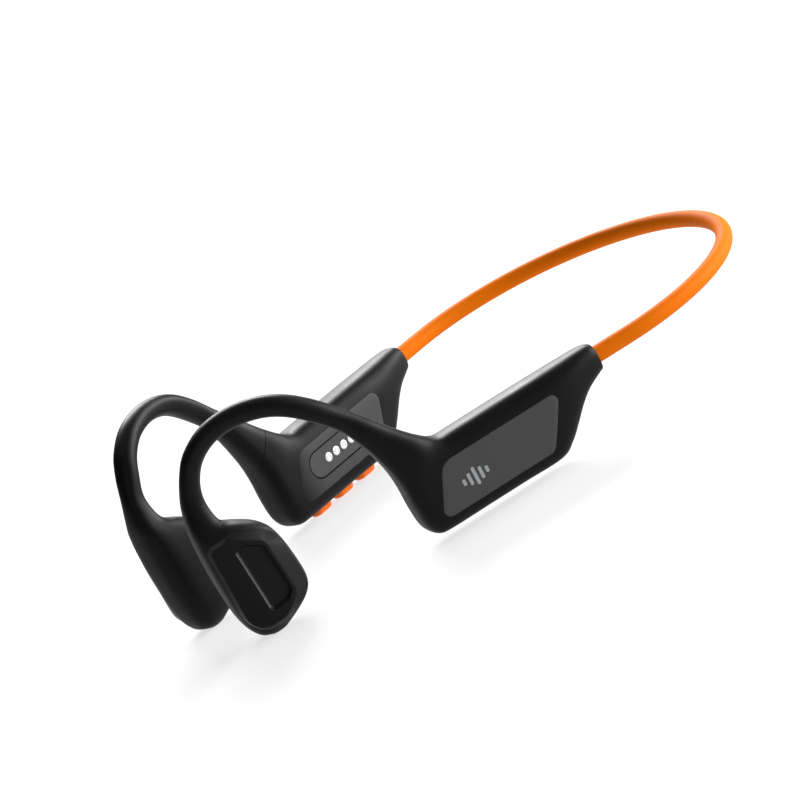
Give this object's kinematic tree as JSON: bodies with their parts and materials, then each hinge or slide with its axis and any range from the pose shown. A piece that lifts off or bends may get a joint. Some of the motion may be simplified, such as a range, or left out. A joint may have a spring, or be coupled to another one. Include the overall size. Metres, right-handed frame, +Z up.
{
  "type": "bone conduction headphones",
  "caption": "Open-ear bone conduction headset: an orange sprung neckband joins two black electronics pods whose over-ear hooks carry flat cheekbone transducers.",
  "frame": {"origin": "bottom centre of the headset's box in the attitude in which it is worn", "axes": "+X to the wearer's left, +Y backwards to the neckband, +Z up"},
  "size_m": [0.0944, 0.1596, 0.0503],
  "materials": {
    "band_silicone": "satin orange liquid silicone sleeve",
    "button_silicone": "satin orange silicone",
    "hook_silicone": "soft satin black silicone",
    "case_black": "soft-touch satin black",
    "panel_grey": "fine-grained dark grey",
    "face_gloss": "polished black",
    "charging_pad_black": "satin black",
    "contact_plating": "bright nickel plating",
    "titanium_wire": "drawn titanium wire",
    "lead_insulation": "enamelled wire insulation",
    "ferrule_steel": "crimped steel",
    "magnet_nickel": "nickel-plated neodymium",
    "yoke_steel": "plated mild steel",
    "coil_copper": "wound copper wire",
    "spring_steel": "etched spring steel",
    "battery_foil": "laminated aluminium pouch",
    "board_laminate": "green solder mask",
    "foam_grey": "closed-cell foam",
    "chip_black": "moulded epoxy",
    "microphone_metal": "plated can",
    "antenna_copper": "copper flex strip",
    "switch_metal": "stamped steel",
    "seal_silicone": "matte grey silicone"
  },
  "bodies": {
    "right_arm": {"antenna": "antenna_copper", "board_chips": "chip_black", "button_seal": "seal_silicone", "button_switches": "switch_metal", "charging_contacts": "contact_plating", "charging_magnets": "magnet_nickel", "charging_pad": "charging_pad_black", "main_board": "board_laminate", "microphone": "microphone_metal", "right_band_anchor": "ferrule_steel", "right_band_core_wire": "titanium_wire", "right_band_lead_wires": "lead_insulation", "right_band_sleeve": "band_silicone", "right_hook_core_wire": "titanium_wire", "right_hook_lead_wires": "lead_insulation", "right_hook_sleeve": "hook_silicone", "right_inner_panel": "panel_grey", "right_outer_panel": "panel_grey", "right_pod_inner_cover": "case_black", "right_pod_outer_shell": "case_black", "right_transducer_bracket": "yoke_steel", "right_transducer_face_insert": "face_gloss", "right_transducer_magnet": "magnet_nickel", "right_transducer_outer_shell": "case_black", "right_transducer_skin_cover": "case_black", "right_transducer_spring_plate": "spring_steel", "right_transducer_voice_coil": "coil_copper", "right_transducer_yoke": "yoke_steel"},
    "left_arm": {"battery_cell": "battery_foil", "battery_foam_pad": "foam_grey", "battery_protection_board": "board_laminate", "left_band_anchor": "ferrule_steel", "left_band_core_wire": "titanium_wire", "left_band_lead_wires": "lead_insulation", "left_band_sleeve": "band_silicone", "left_hook_core_wire": "titanium_wire", "left_hook_lead_wires": "lead_insulation", "left_hook_sleeve": "hook_silicone", "left_inner_panel": "panel_grey", "left_outer_panel": "panel_grey", "left_pod_inner_cover": "case_black", "left_pod_outer_shell": "case_black", "left_transducer_bracket": "yoke_steel", "left_transducer_face_insert": "face_gloss", "left_transducer_magnet": "magnet_nickel", "left_transducer_outer_shell": "case_black", "left_transducer_skin_cover": "case_black", "left_transducer_spring_plate": "spring_steel", "left_transducer_voice_coil": "coil_copper", "left_transducer_yoke": "yoke_steel"},
    "power_button": {"power_button": "button_silicone"},
    "volume_down_button": {"volume_down_button": "button_silicone"},
    "volume_up_button": {"volume_up_button": "button_silicone"}
  },
  "joints": [
    {"name": "band_flex", "type": "hinge", "parent": "right_arm", "child": "left_arm", "pos_m": [0, 0.0798, 0.0174], "axis": [0, 0, 1], "range_deg": [0, 20], "stiffness_Nm_per_rad": 0.35, "springref_deg": -1.72},
    {"name": "power_button_press", "type": "slide", "parent": "right_arm", "child": "power_button", "axis": [0, 0, 1], "range_m": [0, 0.0004], "stiffness_N_per_m": 900, "springref_m": -0.0004},
    {"name": "volume_down_button_press", "type": "slide", "parent": "right_arm", "child": "volume_down_button", "axis": [0, 0, 1], "range_m": [0, 0.0004], "stiffness_N_per_m": 900, "springref_m": -0.0004},
    {"name": "volume_up_button_press", "type": "slide", "parent": "right_arm", "child": "volume_up_button", "axis": [0, 0, 1], "range_m": [0, 0.0004], "stiffness_N_per_m": 900, "springref_m": -0.0004}
  ]
}
